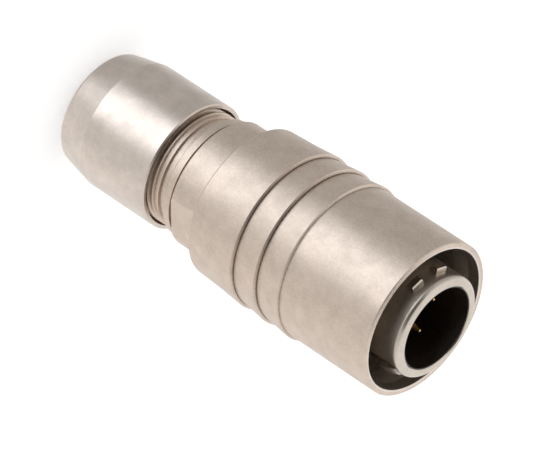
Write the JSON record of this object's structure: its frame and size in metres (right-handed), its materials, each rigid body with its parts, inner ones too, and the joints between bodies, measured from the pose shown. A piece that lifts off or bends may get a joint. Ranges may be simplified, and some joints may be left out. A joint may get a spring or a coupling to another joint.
{
  "type": "push-pull circular cable plug",
  "caption": "Small round metal cable plug with a sliding coupling sleeve, keyed barrel, lock claws, pin contacts and a clamp nut for the cable.",
  "frame": {"origin": "centre of the clamp nut's rear face", "axes": "+Z along the plug's axis towards the mating end; +X towards the side with the two guide keys; +Y square to a spanner flat"},
  "size_m": [0.0118, 0.0118, 0.0312],
  "materials": {
    "satin_nickel": "fine satin champagne nickel plate",
    "bright_nickel": "polished nickel plate",
    "spring_steel": "bright drawn spring metal",
    "black_insulator": "glossy black moulding",
    "gold_contact": "gold plate",
    "brass": "plain turned brass",
    "black_rubber": "matte black rubber"
  },
  "bodies": {
    "plug": {"rear_body": "satin_nickel", "inner_shell": "bright_nickel", "claw_band": "bright_nickel", "spring_seat": "spring_steel", "return_spring": "spring_steel", "stop_ring": "spring_steel", "front_insulator": "black_insulator", "rear_insulator": "black_insulator", "contact_retainer": "bright_nickel", "pin_1": "gold_contact", "pin_2": "gold_contact", "pin_3": "gold_contact", "pin_4": "gold_contact", "cable_gasket": "black_rubber", "cable_clamp": "bright_nickel", "ground_ring": "bright_nickel"},
    "sleeve": {"coupling_sleeve": "satin_nickel"},
    "claw_1": {"lock_claw_1": "spring_steel"},
    "claw_2": {"lock_claw_2": "spring_steel"},
    "washer": {"thrust_washer": "brass"},
    "nut": {"clamp_nut": "satin_nickel"}
  },
  "joints": [
    {"name": "sleeve_pull", "type": "slide", "parent": "plug", "child": "sleeve", "axis": [0, 0, -1], "range_m": [0, 0.0012], "stiffness_N_per_m": 900, "springref_m": -0.003, "deforming": ["return_spring"]},
    {"name": "claw_1_bend", "type": "hinge", "parent": "plug", "child": "claw_1", "pos_m": [-0.00184, 0.00318, 0.0172], "axis": [0.866, 0.5, 0], "range_deg": [0, 1.7]},
    {"name": "claw_2_bend", "type": "hinge", "parent": "plug", "child": "claw_2", "pos_m": [-0.00184, -0.00318, 0.0172], "axis": [-0.866, 0.5, 0], "range_deg": [0, 1.7]},
    {"name": "nut_travel", "type": "slide", "parent": "plug", "child": "washer", "axis": [0, 0, -1], "range_m": [0, 0.005]},
    {"name": "nut_spin", "type": "hinge", "parent": "washer", "child": "nut", "pos_m": [0, 0, 0], "axis": [0, 0, -1], "range_deg": [0, 3600]}
  ],
  "couplings": [
    {"joint": "claw_1_bend", "follows": "sleeve_pull", "rad_per_m": 24.3},
    {"joint": "claw_2_bend", "follows": "sleeve_pull", "rad_per_m": 24.3},
    {"joint": "nut_spin", "follows": "nut_travel", "rad_per_m": 12566}
  ]
}
